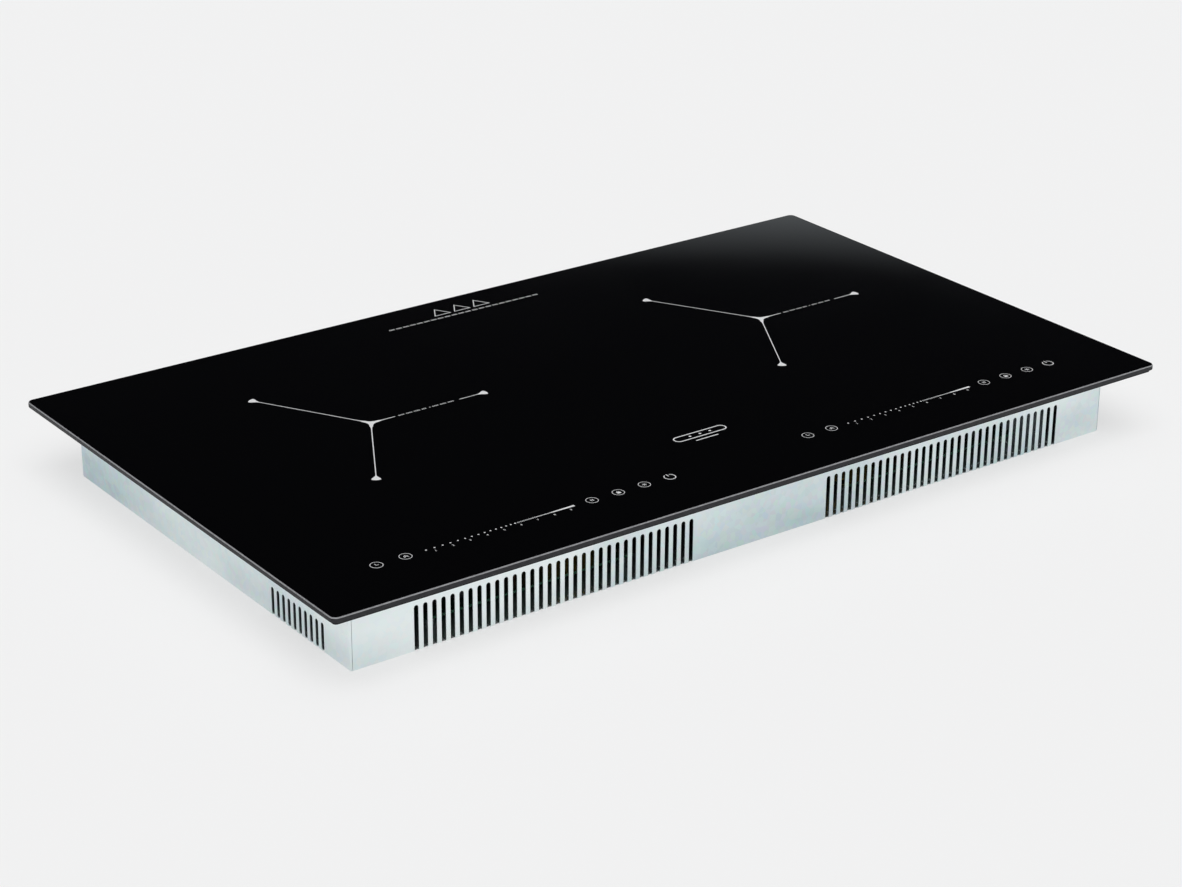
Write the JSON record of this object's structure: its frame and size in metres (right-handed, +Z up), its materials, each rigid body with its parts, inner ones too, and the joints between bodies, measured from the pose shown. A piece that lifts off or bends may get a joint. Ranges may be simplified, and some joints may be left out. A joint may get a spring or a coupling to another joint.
{
  "type": "built-in induction cooktop",
  "caption": "Wide built-in induction cooktop: black bevelled glass plate on a slotted sheet-steel casing, with sprung coils, power boards, cooling fans and touch controls inside.",
  "frame": {"origin": "centre of the casing's underside, the face it rests on", "axes": "+X along the long side, to the user's right; +Y towards the back, away from the controls; +Z up"},
  "size_m": [0.73, 0.43, 0.058],
  "materials": {
    "black_glass": "polished glass-ceramic, black from below, ground grey bevel",
    "seal_foam": "closed-cell foam tape, matt",
    "silicone": "cured silicone bead",
    "zinc_steel": "thin galvanised sheet, satin, cool grey",
    "aluminium": "rolled and extruded, satin",
    "spring_steel": "bright spring wire",
    "copper": "lacquered copper wire",
    "ferrite": "sintered, matt dark grey",
    "mica": "pressed mica sheet, mottled tan",
    "black_plastic": "moulded, fine grain",
    "heat_plastic": "heat-proof moulding, ivory",
    "laminate": "green circuit laminate with solder mask",
    "black_epoxy": "moulded epoxy",
    "capacitor_yellow": "moulded box, semi-gloss",
    "white_plastic": "moulded, matt white"
  },
  "bodies": {
    "cooktop": {"cable_gland": "black_plastic", "casing_tray": "zinc_steel", "filter_board": "laminate", "glass_bond_bead": "silicone", "glass_top": "black_glass", "left_bridge_rectifier": "black_epoxy", "left_coil_former": "heat_plastic", "left_coil_plate": "aluminium", "left_coil_spring_1": "spring_steel", "left_coil_spring_2": "spring_steel", "left_coil_spring_3": "spring_steel", "left_coil_winding": "copper", "left_fan_frame": "black_plastic", "left_ferrite_bar_1": "ferrite", "left_ferrite_bar_2": "ferrite", "left_ferrite_bar_3": "ferrite", "left_ferrite_bar_4": "ferrite", "left_ferrite_bar_5": "ferrite", "left_ferrite_bar_6": "ferrite", "left_filter_choke": "copper", "left_heat_sink": "aluminium", "left_mica_sheet": "mica", "left_power_board": "laminate", "left_power_transistor": "black_epoxy", "left_resonant_capacitor": "capacitor_yellow", "left_temperature_sensor": "white_plastic", "left_touch_board": "laminate", "left_touch_carrier": "black_plastic", "mains_capacitor": "capacitor_yellow", "mains_choke": "copper", "right_bridge_rectifier": "black_epoxy", "right_coil_former": "heat_plastic", "right_coil_plate": "aluminium", "right_coil_spring_1": "spring_steel", "right_coil_spring_2": "spring_steel", "right_coil_spring_3": "spring_steel", "right_coil_winding": "copper", "right_fan_frame": "black_plastic", "right_ferrite_bar_1": "ferrite", "right_ferrite_bar_2": "ferrite", "right_ferrite_bar_3": "ferrite", "right_ferrite_bar_4": "ferrite", "right_ferrite_bar_5": "ferrite", "right_ferrite_bar_6": "ferrite", "right_filter_choke": "copper", "right_heat_sink": "aluminium", "right_mica_sheet": "mica", "right_power_board": "laminate", "right_power_transistor": "black_epoxy", "right_resonant_capacitor": "capacitor_yellow", "right_temperature_sensor": "white_plastic", "right_touch_board": "laminate", "right_touch_carrier": "black_plastic", "rim_seal": "seal_foam", "terminal_block": "white_plastic"},
    "left_fan": {"left_fan_impeller": "black_plastic"},
    "right_fan": {"right_fan_impeller": "black_plastic"}
  },
  "joints": [
    {"name": "left_fan_spin", "type": "hinge", "parent": "cooktop", "child": "left_fan", "pos_m": [-0.1813, 0.062, 0.012], "axis": [0, 0, 1], "continuous": true},
    {"name": "right_fan_spin", "type": "hinge", "parent": "cooktop", "child": "right_fan", "pos_m": [0.1813, 0.062, 0.012], "axis": [0, 0, 1], "continuous": true}
  ]
}
